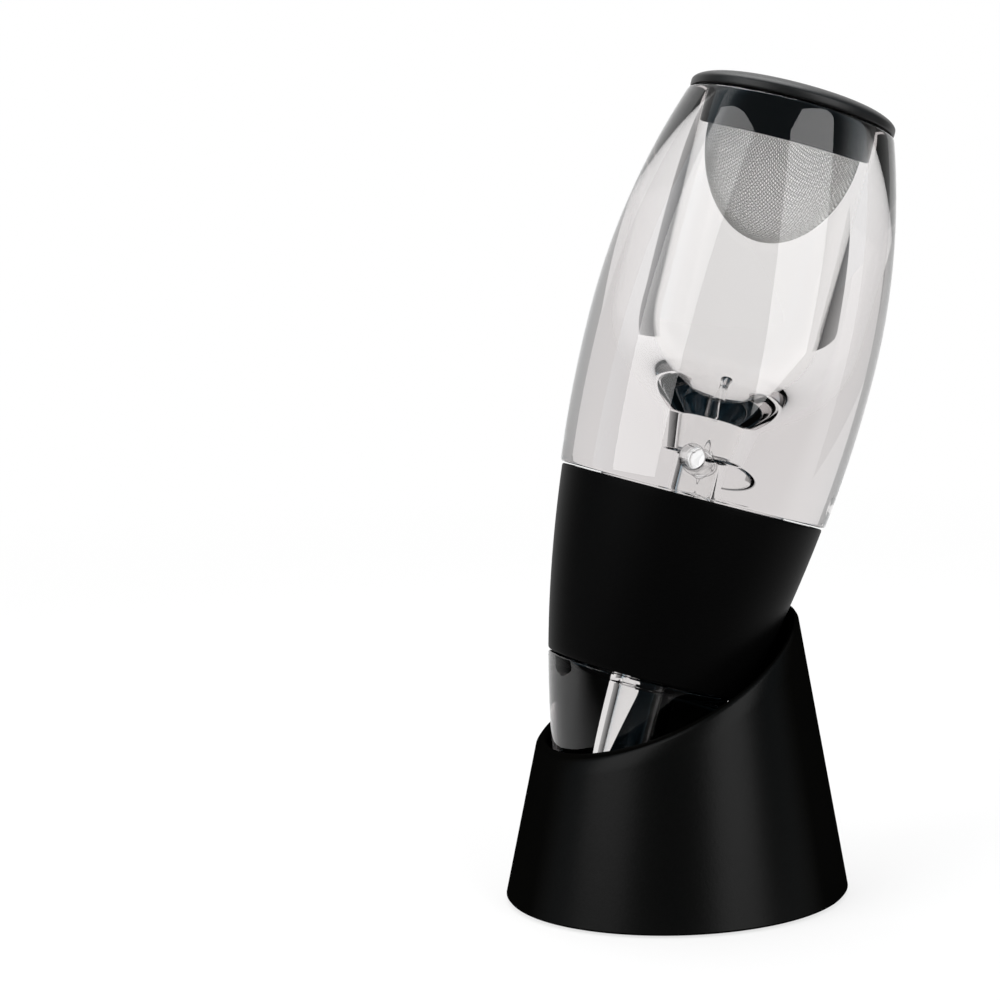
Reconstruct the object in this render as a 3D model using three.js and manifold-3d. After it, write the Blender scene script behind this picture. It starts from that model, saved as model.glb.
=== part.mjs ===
// Wine aerator standing in its slanted base.
// A clear two-part body with a venturi throat carries a lift-out strainer and a black grip sleeve,
// and leans in a black conical stand whose rim sweeps from low to high.
// Lengths are in millimetres, angles in degrees. +Z is up, the origin is the middle of the stand's
// footprint, and the aerator leans towards +X.

import * as THREE from 'three';
import { mergeVertices } from 'three/addons/utils/BufferGeometryUtils.js';
import Module from 'manifold-3d';

const wasm = await Module();
wasm.setup();

// Driving dimensions of the whole aerator
const clearance = 0.3;              // air left between pieces that touch
const overrun = 2;                  // how far a cutter passes the face that it opens
const aeratorTilt = 17;             // lean of the aerator's axis from upright
const axisFoot = -18.15;            // where that axis meets the table, from the stand's middle
const tipLift = 11.85;              // from the table to the spout's tip, along the axis

// Driving dimensions of the clear lower spout and its sleeve
const spoutHeight = 67;             // from the tip to the joint with the chamber
const tipRadius = 7.7;
const tipDraft = 24;                // lean of the outline at the tip
const tipRounding = 0.8;
const jointRadius = 25.1;           // over the sleeve, at the joint
const jointDraft = 6.5;             // lean of the outline at the joint
const boreRadius = 4.2;
const boreMouthRadius = 5;          // the bore flares at the tip
const boreMouthHeight = 2.2;
const sleeveHeight = 34.4;
const sleeveWall = 1.8;

// Driving dimensions of the clear upper chamber
const chamberHeight = 73.5;         // from the joint to the rim
const chamberFootRadius = 25.5;
const crownRadius = 27.25;          // the barrel at its widest
const crownHeight = 29;
const rimRadius = 19.8;
const rimRounding = 0.9;
const mouthRadius = 16.6;
const cavityRadius = 15.9;          // where its straight wall ends
const bowlTopHeight = 35;           // where the cavity starts to close in
const bowlSideShare = 0.35;         // the bowl's first bend, of its fall to the neck
const bowlWaistShare = 0.6;         // its last bend, of its reach out from the neck
const bowlFloorShare = 0.16;        // and of its rise above the neck
const neckTopHeight = 14.6;
const neckTopRadius = 6.3;
const neckFootRadius = 5.3;
const throatStepHeight = 7.7;
const throatRadius = 3.3;
const spigotRadius = 17.5;
const spigotDepth = 12;
const spigotChamfer = 0.8;
const inletRadius = 2.4;
const inletHeight = 6.6;
const inletTurn = -116;             // the way that the first air inlet faces
const inletCount = 2;

// Driving dimensions of the flat seal under the spigot
const sealThickness = 1.2;
const sealBoreMargin = 1.2;         // its hole is this much wider than the spout's bore

// Driving dimensions of the strainer
const flangeRadius = 19.7;
const flangeBevel = 0.4;            // under the flange's edge
const flangeEdge = 1.1;             // top of the flange's upright edge
const domeHeight = 3.5;
const domeRadius = 13.4;            // the flange's highest circle
const pouringRadius = 11.5;
const skirtDepth = 8.3;
const skirtWall = 1.4;
const ledgeDepth = 0.9;             // the ledge above the mesh, below the flange
const meshDepth = 18.7;             // below the skirt
const meshWire = 0.6;
const meshRibs = 30;
const meshHoops = 7;
const meshBarShare = 0.36;          // bar, of bar and gap together
const meshCapAngle = 77;            // where the closed bottom of the mesh starts

// Driving dimensions of the stand
const baseRadius = 32.5;            // where the wall would meet the table
const wallDraft = 11;               // how far the stand's wall leans in
const standLean = 1.83;             // how far its axis leans towards the high side
const standWall = 2;
const footLift = 0.5;               // the shell clears the table, the pad stands on it
const footChamfer = 0.4;
const rimLowHeight = 29.3;
const rimHighHeight = 53.5;
const rimDip = 2.4;                 // the sweep's sag below a straight line
const seatClearance = 0.35;         // between the rim and the aerator that leans on it

// Driving dimensions of the cup inside the stand, and of the pad under it
const padThickness = 2.6;
const floorThickness = 2;
const seatWall = 1.6;
const seatHeight = 6.4;             // along the axis, above the spout's tip
const ribCount = 5;
const ribThickness = 1.6;
const ribHeight = 7;

// Facets
const bodyFacets = 48;
const standFacets = 72;
const ductFacets = 20;
const arcSteps = 8;

const radians = THREE.MathUtils.degToRad;
const at = (radius, height) => new THREE.Vector2(radius, height);

// Solids from three.js geometries, and back
function solidOf(geometry) {
  const bare = new THREE.BufferGeometry();
  bare.setAttribute('position', geometry.getAttribute('position'));
  bare.setIndex(geometry.getIndex());
  const merged = mergeVertices(bare);
  const corners = merged.getIndex().array;
  const kept = [];
  for (let i = 0; i < corners.length; i += 3) {
    const [a, b, c] = [corners[i], corners[i + 1], corners[i + 2]];
    if (a !== b && b !== c && c !== a) {
      kept.push(a, b, c);
    }
  }
  return new wasm.Manifold(new wasm.Mesh({
    numProp: 3,
    vertProperties: Float32Array.from(merged.getAttribute('position').array),
    triVerts: Uint32Array.from(kept),
  }));
}

function geometryOf(solid) {
  const mesh = solid.getMesh();
  const geometry = new THREE.BufferGeometry();
  geometry.setAttribute('position', new THREE.BufferAttribute(mesh.vertProperties, 3));
  geometry.setIndex(new THREE.BufferAttribute(mesh.triVerts, 1));
  geometry.computeVertexNormals();
  return geometry;
}

// A turned shape about +Z. Its outline closes on itself, or starts and ends on the axis
function turned(outline, facets) {
  return new THREE.LatheGeometry(outline, facets).rotateX(Math.PI / 2);
}

function turnedRing(outline, facets) {
  return turned([...outline, outline[0]], facets);
}

// A round bar between two heights, for cutters
function rod(radius, from, to, facets) {
  const bar = new THREE.CylinderGeometry(radius, radius, to - from, facets);
  return bar.rotateX(Math.PI / 2).translate(0, 0, (from + to) / 2);
}

// The outline of the closed lower half, from the tip up to the joint, as one curve
const spoutOutline = new THREE.CubicBezierCurve(
  at(tipRadius, 0),
  at(tipRadius + Math.tan(radians(tipDraft)) * spoutHeight / 3, spoutHeight / 3),
  at(jointRadius - Math.tan(radians(jointDraft)) * spoutHeight / 3, spoutHeight * 2 / 3),
  at(jointRadius, spoutHeight),
);

// The curve's height grows evenly, so a height gives its place on the curve
const spoutRadiusAt = (height) => spoutOutline.getPoint(height / spoutHeight).x;

function spoutStretch(from, to, outset, steps) {
  const points = [];
  for (let i = 0; i <= steps; i += 1) {
    const height = THREE.MathUtils.lerp(from, to, i / steps);
    points.push(at(spoutRadiusAt(height) + outset, height));
  }
  return points;
}

// A barrel stretch: a circular arc that starts at the crown and passes through its end
function barrelStretch(endRadius, endHeight, steps) {
  const rise = endHeight - crownHeight;
  const fall = crownRadius - endRadius;
  const bend = (rise * rise + fall * fall) / (2 * fall);
  const points = [];
  for (let i = 0; i <= steps; i += 1) {
    const up = rise * i / steps;
    points.push(at(crownRadius - bend + Math.sqrt(bend * bend - up * up), crownHeight + up));
  }
  return points;
}

// Materials
function finish(colour, roughness, metalness) {
  return new THREE.MeshStandardMaterial({ color: colour, roughness, metalness });
}

function clearAcrylic() {
  const material = finish(0xf2f3f4, 0.03, 0);
  material.transparent = true;
  material.opacity = 0.3;
  return material;
}

const satinBlackPlastic = () => finish(0x0b0b0c, 0.42, 0);
const blackSilicone = () => finish(0x0a0a0b, 0.6, 0);
const rimPlastic = () => finish(0x1d1e20, 0.5, 0);
const stainlessWire = () => finish(0xb9b8b4, 0.32, 1);
const sealRubber = () => finish(0x0c0c0c, 0.6, 0);
const padFoam = () => finish(0x161616, 0.9, 0);

// The clear lower spout: a bullet-shaped turned block, recessed for the sleeve, with a socket for
// the chamber above and one long bore that flares at the tip
const socketFloor = spoutHeight - spigotDepth - sealThickness - 2 * clearance;

function lowerSpout() {
  const ledge = spoutHeight - sleeveHeight - clearance;
  const top = spoutHeight - clearance;
  const socket = spigotRadius + clearance;
  const outline = [
    at(boreMouthRadius, 0),
    at(tipRadius - tipRounding, 0),
    ...spoutStretch(tipRounding, ledge, 0, arcSteps),
    ...spoutStretch(ledge, top, -sleeveWall - clearance, arcSteps / 2),
    at(socket, top),
    at(socket, socketFloor),
    at(boreRadius, socketFloor),
    at(boreRadius, boreMouthHeight),
  ];
  return turnedRing(outline, bodyFacets);
}

// The grip sleeve: an even silicone band that lies flush in the spout's recess
function gripSleeve() {
  const foot = spoutHeight - sleeveHeight;
  const top = spoutHeight - clearance;
  const outline = [
    ...spoutStretch(foot, top, 0, arcSteps / 2),
    ...spoutStretch(foot, top, -sleeveWall, arcSteps / 2).reverse(),
  ];
  return turnedRing(outline, bodyFacets);
}

// The seal is a flat rubber washer on the socket's floor, and the chamber's spigot stands on it
function jointSeal() {
  const foot = socketFloor + clearance;
  const outline = [
    at(boreRadius + sealBoreMargin, foot),
    at(spigotRadius, foot),
    at(spigotRadius, foot + sealThickness),
    at(boreRadius + sealBoreMargin, foot + sealThickness),
  ];
  return turnedRing(outline, bodyFacets);
}

// The clear upper chamber: a thick barrel with a wide cavity that closes in as a bowl to a tapered
// neck, a narrower throat below it, a spigot, and radial air inlets that meet the neck's step
function upperChamber() {
  const joint = spoutHeight;
  const rim = joint + chamberHeight;
  const lift = (points) => points.map((point) => at(point.x, point.y + joint));
  const bowlRise = bowlTopHeight - neckTopHeight;
  const bowlReach = cavityRadius - neckTopRadius;
  const bowl = new THREE.CubicBezierCurve(
    at(cavityRadius, bowlTopHeight),
    at(cavityRadius, bowlTopHeight - bowlRise * bowlSideShare),
    at(neckTopRadius + bowlReach * bowlWaistShare, neckTopHeight + bowlRise * bowlFloorShare),
    at(neckTopRadius, neckTopHeight),
  );
  const outline = [
    at(throatRadius, joint - spigotDepth),
    at(spigotRadius - spigotChamfer, joint - spigotDepth),
    at(spigotRadius, joint - spigotDepth + spigotChamfer),
    at(spigotRadius, joint),
    ...lift(barrelStretch(chamberFootRadius, 0, arcSteps / 2).reverse()),
    ...lift(barrelStretch(rimRadius, chamberHeight - rimRounding, arcSteps).slice(1)),
    at(rimRadius - rimRounding, rim),
    at(mouthRadius, rim),
    ...lift(bowl.getPoints(arcSteps)),
    at(neckFootRadius, joint + throatStepHeight),
    at(throatRadius, joint + throatStepHeight),
  ];
  let chamber = solidOf(turnedRing(outline, bodyFacets));
  for (let i = 0; i < inletCount; i += 1) {
    const duct = rod(inletRadius, 0, crownRadius + overrun, ductFacets)
      .rotateY(Math.PI / 2)
      .rotateZ(radians(inletTurn) + i * 2 * Math.PI / inletCount)
      .translate(0, 0, joint + inletHeight);
    chamber = chamber.subtract(solidOf(duct));
  }
  return geometryOf(chamber);
}

// The strainer's rim: a domed flange that closes the chamber, with a skirt down its mouth and a
// ledge under which the mesh is held
const flangeSeat = spoutHeight + chamberHeight + clearance;
const skirtRadius = mouthRadius - clearance;
const skirtBore = skirtRadius - skirtWall;

function strainerRim() {
  const dome = new THREE.CubicBezierCurve(
    at(flangeRadius, flangeEdge),
    at(flangeRadius, (flangeEdge + domeHeight) / 2),
    at((domeRadius + flangeRadius) / 2, domeHeight),
    at(domeRadius, domeHeight),
  );
  const throat = new THREE.QuadraticBezierCurve(
    at(domeRadius, domeHeight),
    at(pouringRadius, domeHeight),
    at(pouringRadius, flangeEdge),
  );
  const outline = [
    at(skirtBore, -skirtDepth),
    at(skirtRadius, -skirtDepth),
    at(skirtRadius, 0),
    at(flangeRadius - flangeBevel, 0),
    at(flangeRadius, flangeBevel),
    ...dome.getPoints(arcSteps / 2),
    ...throat.getPoints(arcSteps / 2).slice(1),
    at(pouringRadius, -ledgeDepth),
    at(skirtBore, -ledgeDepth),
  ];
  return turnedRing(outline, bodyFacets).translate(0, 0, flangeSeat);
}

// The strainer's mesh: a deep cup of ribs and hoops with open cells between them, a plain collar
// inside the skirt and a small closed bottom
function strainerMesh() {
  const radius = skirtBore - clearance;
  const collarFoot = flangeSeat - skirtDepth;
  const levels = [{ angle: 0, height: flangeSeat - ledgeDepth - clearance, gap: false }];
  for (let i = 0; i < meshHoops; i += 1) {
    const step = meshCapAngle / meshHoops;
    levels.push({ angle: step * (i + meshBarShare), height: collarFoot, gap: true });
    levels.push({ angle: step * (i + 1), height: collarFoot, gap: false });
  }
  const turns = [];
  for (let i = 0; i < meshRibs; i += 1) {
    turns.push({ turn: i / meshRibs, gap: false });
    turns.push({ turn: (i + meshBarShare) / meshRibs, gap: true });
  }
  const place = ({ angle, height }, { turn }, inset) => {
    const reach = (radius - inset) * Math.cos(radians(angle));
    const drop = (meshDepth - inset) * Math.sin(radians(angle));
    const way = 2 * Math.PI * turn;
    return [reach * Math.cos(way), reach * Math.sin(way), height - drop];
  };
  const corners = [];
  const quad = (a, b, c, d) => corners.push(a, b, c, a, c, d);
  const last = levels[levels.length - 1];
  turns.forEach((left, k) => {
    const right = turns[(k + 1) % turns.length];
    levels.slice(0, -1).forEach((upper, j) => {
      const cell = [[upper, left], [upper, right], [levels[j + 1], right], [levels[j + 1], left]];
      const outer = cell.map(([level, turn]) => place(level, turn, 0));
      const inner = cell.map(([level, turn]) => place(level, turn, meshWire));
      if (upper.gap && left.gap) {
        outer.forEach((corner, i) => {
          const next = (i + 1) % outer.length;
          quad(outer[next], corner, inner[i], inner[next]);
        });
      } else {
        quad(outer[3], outer[2], outer[1], outer[0]);
        quad(inner[0], inner[1], inner[2], inner[3]);
      }
    });
    quad(
      place(levels[0], left, 0),
      place(levels[0], right, 0),
      place(levels[0], right, meshWire),
      place(levels[0], left, meshWire),
    );
    corners.push(place(last, right, 0), place(last, left, 0), [0, 0, collarFoot - meshDepth]);
    corners.push(
      place(last, left, meshWire),
      place(last, right, meshWire),
      [0, 0, collarFoot - meshDepth + meshWire],
    );
  });
  const geometry = new THREE.BufferGeometry();
  geometry.setAttribute('position', new THREE.Float32BufferAttribute(corners.flat(), 3));
  return geometryOf(solidOf(geometry));
}

// The stand leans and narrows upwards, so its middle and its radius follow the height
const standRadiusAt = (height) => baseRadius - Math.tan(radians(wallDraft)) * height;
const standMiddleAt = (height) => Math.tan(radians(standLean)) * height;

function leaned(geometry) {
  const shear = new THREE.Matrix4().makeShear(0, 0, 0, 0, Math.tan(radians(standLean)), 0);
  return geometry.applyMatrix4(shear);
}

// A slice of the stand's inside, for the pieces that fill it
function insideSlice(from, to, facets) {
  const inset = standWall + clearance;
  const slice = new THREE.CylinderGeometry(
    standRadiusAt(to) - inset,
    standRadiusAt(from) - inset,
    to - from,
    facets,
  );
  return leaned(slice.rotateX(Math.PI / 2).translate(0, 0, (from + to) / 2));
}

// The aerator's own frame, where it stands: its origin is the middle of the spout's tip
const aerator = new THREE.Group();
aerator.rotation.y = radians(aeratorTilt);
aerator.position.set(
  axisFoot + tipLift * Math.sin(radians(aeratorTilt)),
  0,
  tipLift * Math.cos(radians(aeratorTilt)),
);
aerator.updateMatrix();

// What the aerator takes up, grown by a gap, for everything in the stand that stays clear of it
function aeratorRoom(gap) {
  const outline = [
    at(0, -gap),
    ...spoutStretch(0, spoutHeight, gap, arcSteps * 2),
    at(0, spoutHeight),
  ];
  return solidOf(turned(outline, standFacets).applyMatrix4(aerator.matrix));
}

// The stand's shell: a thin leaning cone, open below, whose rim sweeps from the low to the high
// side and is hollowed where the aerator leans on it
function standShell() {
  const wallAt = (height) => [standRadiusAt(height), height];
  const outline = [
    at(standRadiusAt(footLift) - standWall, footLift),
    at(standRadiusAt(footLift) - footChamfer, footLift),
    at(...wallAt(footLift + footChamfer)),
    at(...wallAt(rimHighHeight)),
    at(standRadiusAt(rimHighHeight) - standWall, rimHighHeight),
  ];
  const cone = solidOf(leaned(turnedRing(outline, standFacets)));
  const lowX = standMiddleAt(rimLowHeight) - standRadiusAt(rimLowHeight);
  const highX = standMiddleAt(rimHighHeight) + standRadiusAt(rimHighHeight);
  const sweep = new THREE.Shape();
  sweep.moveTo(lowX, rimLowHeight);
  sweep.quadraticCurveTo(
    (lowX + highX) / 2,
    (rimLowHeight + rimHighHeight) / 2 - 2 * rimDip,
    highX,
    rimHighHeight,
  );
  sweep.lineTo(highX, rimHighHeight + overrun);
  sweep.lineTo(lowX - overrun, rimHighHeight + overrun);
  sweep.lineTo(lowX - overrun, rimLowHeight);
  const above = new THREE.ExtrudeGeometry(sweep, {
    depth: 2 * baseRadius,
    bevelEnabled: false,
    curveSegments: arcSteps * 2,
  });
  above.translate(0, 0, -baseRadius).rotateX(Math.PI / 2);
  return geometryOf(cone.subtract(solidOf(above)).subtract(aeratorRoom(seatClearance)));
}

// The drip cup inside the stand: a floor that closes the shell, a tilted seat round the spout's
// tip and ribs that carry it
function dripCup() {
  const floorFoot = padThickness + clearance;
  const floorTop = floorFoot + floorThickness;
  const seatReach = spoutStretch(0, seatHeight, clearance + seatWall, arcSteps / 2);
  const seat = turned([
    at(0, -tipLift),
    at(seatReach[0].x, -tipLift),
    ...seatReach,
    at(0, seatHeight),
  ], bodyFacets).applyMatrix4(aerator.matrix);
  const well = rod(tipRadius, -tipLift - overrun, overrun, bodyFacets)
    .applyMatrix4(aerator.matrix);
  let cup = solidOf(seat);
  for (let i = 0; i < ribCount; i += 1) {
    const rib = new THREE.BoxGeometry(2 * baseRadius, ribThickness, ribHeight)
      .translate(baseRadius, 0, floorTop + ribHeight / 2)
      .rotateZ(i * 2 * Math.PI / ribCount)
      .translate(aerator.position.x, 0, 0);
    cup = cup.add(solidOf(rib));
  }
  return geometryOf(cup
    .subtract(solidOf(well))
    .subtract(aeratorRoom(clearance))
    .add(solidOf(insideSlice(floorFoot, floorTop, bodyFacets)))
    .intersect(solidOf(insideSlice(floorFoot, rimLowHeight, bodyFacets))));
}

// The anti-slip pad: a soft disc under the cup that carries the whole stand
function footPad() {
  return insideSlice(0, padThickness, bodyFacets);
}

// Assembly
function piece(name, geometry, material) {
  const mesh = new THREE.Mesh(geometry, material);
  mesh.name = name;
  return mesh;
}

aerator.add(
  piece('lower_spout', lowerSpout(), clearAcrylic()),
  piece('grip_sleeve', gripSleeve(), blackSilicone()),
  piece('joint_seal', jointSeal(), sealRubber()),
  piece('upper_chamber', upperChamber(), clearAcrylic()),
  piece('strainer_rim', strainerRim(), rimPlastic()),
  piece('strainer_mesh', strainerMesh(), stainlessWire()),
);

const wineAerator = new THREE.Group();
wineAerator.name = 'wine_aerator';
wineAerator.add(
  aerator,
  piece('stand_shell', standShell(), satinBlackPlastic()),
  piece('drip_cup', dripCup(), satinBlackPlastic()),
  piece('foot_pad', footPad(), padFoam()),
);

export default wineAerator;
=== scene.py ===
import math

import bmesh
import bpy
from mathutils import Matrix, Vector


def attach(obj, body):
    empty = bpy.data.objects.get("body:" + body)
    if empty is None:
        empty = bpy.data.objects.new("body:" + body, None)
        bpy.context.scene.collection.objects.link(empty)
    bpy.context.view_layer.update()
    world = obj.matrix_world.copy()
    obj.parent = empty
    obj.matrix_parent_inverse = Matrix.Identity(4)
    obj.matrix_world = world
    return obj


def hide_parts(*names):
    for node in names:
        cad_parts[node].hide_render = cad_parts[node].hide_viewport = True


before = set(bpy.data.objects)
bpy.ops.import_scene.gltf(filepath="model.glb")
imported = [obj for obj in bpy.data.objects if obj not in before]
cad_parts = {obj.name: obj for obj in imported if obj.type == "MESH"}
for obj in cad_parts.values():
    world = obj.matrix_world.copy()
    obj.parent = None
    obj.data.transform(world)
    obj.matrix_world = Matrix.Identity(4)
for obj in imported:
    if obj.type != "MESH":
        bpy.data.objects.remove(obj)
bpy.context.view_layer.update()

# The stand's shell. A thin cone of satin black plastic that leans a little and is open below.
# Its rim sweeps from the low to the high side, has a rounded lip, and is hollowed where the
# aerator leans on it. Lengths are in millimetres, and mesh code turns them into metres.
MM = 0.001
BASE_RADIUS = 32.5
WALL_SLOPE = math.tan(math.radians(11))
STAND_LEAN = math.tan(math.radians(1.83))
STAND_WALL = 2.0
FOOT_LIFT = 0.5
FOOT_CHAMFER = 0.4
RIM_LOW = 29.3
RIM_HIGH = 53.5
RIM_DIP = 2.4                 # how far the sweep sags below a straight line
RIM_LIP = 0.75
SEAT_GAP = 0.35               # left between the hollow and the aerator
AERATOR_TILT = math.radians(17)
AXIS_FOOT = -18.15            # where the aerator's axis meets the floor
TIP_LIFT = 11.85              # how far up that axis its tip lies
SPOUT_HEIGHT = 67.0
TIP_RADIUS = 7.7
TIP_SLOPE = math.tan(math.radians(24))
JOINT_RADIUS = 25.1
JOINT_SLOPE = math.tan(math.radians(6.5))
SHELL_TURNS = 240
SHELL_ROWS = 12
LIP_STEPS = 4
ROUNDED_SHARE = 0.45          # the most that a rounding takes of what carries it
REACH_HALVINGS = 20           # tries at how far the hollow cuts into the wall
RIM_PASSES = 30               # tries at where the sweep cuts a face of the wall
SHARP_EDGE = math.radians(40)


def spread(start, end, steps):
    """Evenly spaced numbers from start to end, both of them kept."""
    return [start + (end - start) * i / steps for i in range(steps + 1)]


def full_turn(count):
    """The angles of evenly spaced places round a full turn."""
    return [2 * math.pi * i / count for i in range(count)]


def cubic(a, b, c, d, t):
    """The point at share t of a cubic curve, as numbers or as (radius, height) pairs."""
    if isinstance(a, tuple):
        return tuple(cubic(*parts, t) for parts in zip(a, b, c, d))
    back = 1 - t
    return a * back**3 + 3 * b * back**2 * t + 3 * c * back * t**2 + d * t**3


def spout_radius(height):
    """The outside radius of the aerator's lower half, at a height above its tip."""
    third = SPOUT_HEIGHT / 3
    leaving = TIP_RADIUS + TIP_SLOPE * third
    arriving = JOINT_RADIUS - JOINT_SLOPE * third
    share = min(max(height / SPOUT_HEIGHT, 0), 1)
    return cubic(TIP_RADIUS, leaving, arriving, JOINT_RADIUS, share)


aerator_place = (
    Matrix.Translation((AXIS_FOOT, 0, 0))
    @ Matrix.Rotation(AERATOR_TILT, 4, "Y")
    @ Matrix.Translation((0, 0, TIP_LIFT))
)
aerator_back = aerator_place.inverted()


def stand_radius(height):
    return BASE_RADIUS - WALL_SLOPE * height


def stand_point(turn, reach, height):
    """A place in the stand, at a turn and a reach from its leaning middle line."""
    return Vector((STAND_LEAN * height + reach * math.cos(turn), reach * math.sin(turn), height))


def sweep_height(x):
    """The height of the rim's sweep above a place on the lean's line."""
    low_x = STAND_LEAN * RIM_LOW - stand_radius(RIM_LOW)
    high_x = STAND_LEAN * RIM_HIGH + stand_radius(RIM_HIGH)
    t = (x - low_x) / (high_x - low_x)
    middle = (RIM_LOW + RIM_HIGH) / 2 - 2 * RIM_DIP
    return RIM_LOW * (1 - t) ** 2 + 2 * middle * (1 - t) * t + RIM_HIGH * t**2


def inner_reach(turn, height):
    """How far the shell's inner face lies from its middle: the wall, hollowed for the aerator."""
    plain = stand_radius(height) - STAND_WALL
    near, far = plain, stand_radius(height)
    for _ in range(REACH_HALVINGS):
        reach = (near + far) / 2
        inside = aerator_back @ stand_point(turn, reach, height)
        if math.hypot(inside.x, inside.y) < spout_radius(inside.z) + SEAT_GAP:
            near = reach
        else:
            far = reach
    return max(plain, near)


def rim_height(turn, reach_at):
    """The height where the sweep cuts a face of the wall that reaches out by reach_at(height)."""
    height = RIM_LOW
    for _ in range(RIM_PASSES):
        x = STAND_LEAN * height + reach_at(height) * math.cos(turn)
        height = (height + sweep_height(x)) / 2
    return height


def added(name, data):
    """A new object in the scene that holds the data."""
    made = bpy.data.objects.new(name, data)
    bpy.context.scene.collection.objects.link(made)
    return made


def smoothed(mesh):
    """Shades a mesh smoothly and keeps its sharp edges."""
    mesh.shade_smooth()
    mesh.set_sharp_from_angle(angle=SHARP_EDGE)


def closed_mesh(name, columns):
    """A ring-shaped solid from columns of points, each a closed section, joined side by side."""
    work = bmesh.new()
    placed = [[work.verts.new(point * MM) for point in column] for column in columns]
    for i, here in enumerate(placed):
        there = placed[(i + 1) % len(placed)]
        for j in range(len(here)):
            k = (j + 1) % len(here)
            work.faces.new((here[j], there[j], there[k], here[k]))
    mesh = bpy.data.meshes.new(name)
    work.to_mesh(mesh)
    work.free()
    smoothed(mesh)
    return added(name, mesh)


def shell_section(turn):
    """One section through the wall: up the outside, over the rounded lip, down the inside."""
    outer_rim = rim_height(turn, stand_radius)
    inner_rim = rim_height(turn, lambda height: inner_reach(turn, height))
    outer_top = stand_radius(outer_rim)
    inner_top = inner_reach(turn, inner_rim)
    lip = min(RIM_LIP, ROUNDED_SHARE * (outer_top - inner_top))
    outside = [(stand_radius(FOOT_LIFT) - FOOT_CHAMFER, FOOT_LIFT)]
    for height in spread(FOOT_LIFT + FOOT_CHAMFER, outer_rim - lip, SHELL_ROWS):
        outside.append((stand_radius(height), height))
    bends = [
        (lip * (1 - math.cos(angle)), lip * (1 - math.sin(angle)))
        for angle in spread(0, math.pi / 2, LIP_STEPS)[1:]
    ]
    over = [(outer_top - inward, outer_rim - down) for inward, down in bends]
    over += [(inner_top + inward, inner_rim - down) for inward, down in reversed(bends)]
    inside = [
        (inner_reach(turn, height), height)
        for height in spread(inner_rim - lip, FOOT_LIFT, SHELL_ROWS)
    ]
    return [stand_point(turn, reach, height) for reach, height in outside + over + inside]


stand_shell = closed_mesh("shell_cone", [shell_section(turn) for turn in full_turn(SHELL_TURNS)])


class Value:
    """A shader socket that can be added to, multiplied and so on, each through a Math node."""

    def __init__(self, finish, socket):
        self.finish = finish
        self.socket = socket

    def __add__(self, other):
        return self.finish.maths("ADD", self, other)

    __radd__ = __add__

    def __sub__(self, other):
        return self.finish.maths("SUBTRACT", self, other)

    def __rsub__(self, other):
        return self.finish.maths("SUBTRACT", other, self)

    def __mul__(self, other):
        return self.finish.maths("MULTIPLY", self, other)

    __rmul__ = __mul__

    def between(self, low, high):
        """The same pattern, running from low to high instead of from 0 to 1."""
        return self * (high - low) + low


class Finish:
    """A procedural material, built node by node."""

    def __init__(self, name):
        self.material = bpy.data.materials.new(name)
        self.material.use_nodes = True
        self.tree = self.material.node_tree
        self.tree.nodes.clear()

    def node(self, kind, settings=None, inputs=None, output=0):
        """A node of a kind, with its settings and the values or links of its sockets."""
        made = self.tree.nodes.new(kind)
        for key, value in (settings or {}).items():
            setattr(made, key, value)
        for key, value in (inputs or {}).items():
            if isinstance(value, Value):
                self.tree.links.new(value.socket, made.inputs[key])
            else:
                made.inputs[key].default_value = value
        return Value(self, made.outputs[output]) if made.outputs else made

    def maths(self, operation, *terms):
        return self.node("ShaderNodeMath", {"operation": operation}, dict(enumerate(terms)))

    def vectors(self, operation, *terms, output="Vector"):
        settings = {"operation": operation}
        return self.node("ShaderNodeVectorMath", settings, dict(enumerate(terms)), output)

    def along(self, vector, way):
        """How far a vector reaches along a way, as a number."""
        return self.vectors("DOT_PRODUCT", vector, tuple(way), output="Value")

    def length(self, vector):
        return self.vectors("LENGTH", vector, output="Value")

    def ramp(self, value, start, end, low=0.0, high=1.0, easing="LINEAR"):
        """Runs from low to high as the value goes from start to end, and holds beyond them."""
        return self.node("ShaderNodeMapRange", {"interpolation_type": easing}, {
            "Value": value, "From Min": start, "From Max": end, "To Min": low, "To Max": high,
        }, "Result")

    def place(self):
        return self.node("ShaderNodeTexCoord", output="Object")

    def noise(self, scale, detail=2.0, roughness=0.5):
        """A cloudy pattern from 0 to 1, with scale cells to the metre."""
        return self.node("ShaderNodeTexNoise", {}, {
            "Vector": self.place(), "Scale": scale, "Detail": detail, "Roughness": roughness,
        }, "Fac")

    def mix(self, factor, first, second):
        """A mix of two colours. The node takes them at 6 and 7 and gives their mix at 2."""
        return self.node("ShaderNodeMix", {"data_type": "RGBA"}, {0: factor, 6: first, 7: second}, 2)

    def bump(self, height, depth):
        return self.node("ShaderNodeBump", {}, {"Height": height, "Distance": depth * MM})

    def surface(self, dull_edges=None, **sockets):
        """A principled surface. One whose edges are dull loses its sheen where it turns away."""
        named = {key.replace("_", " "): value for key, value in sockets.items()}
        shader = self.node("ShaderNodeBsdfPrincipled", {}, named)
        if dull_edges:
            turned_away = self.node("ShaderNodeLayerWeight", output="Facing")
            share = self.ramp(turned_away, *dull_edges, easing="SMOOTHSTEP")
            matt = self.node("ShaderNodeBsdfDiffuse", {}, {"Color": sockets["Base_Color"]})
            shader = self.node("ShaderNodeMixShader", {}, {0: share, 1: shader, 2: matt})
        self.node("ShaderNodeOutputMaterial", {}, {"Surface": shader})
        return self.material


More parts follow.
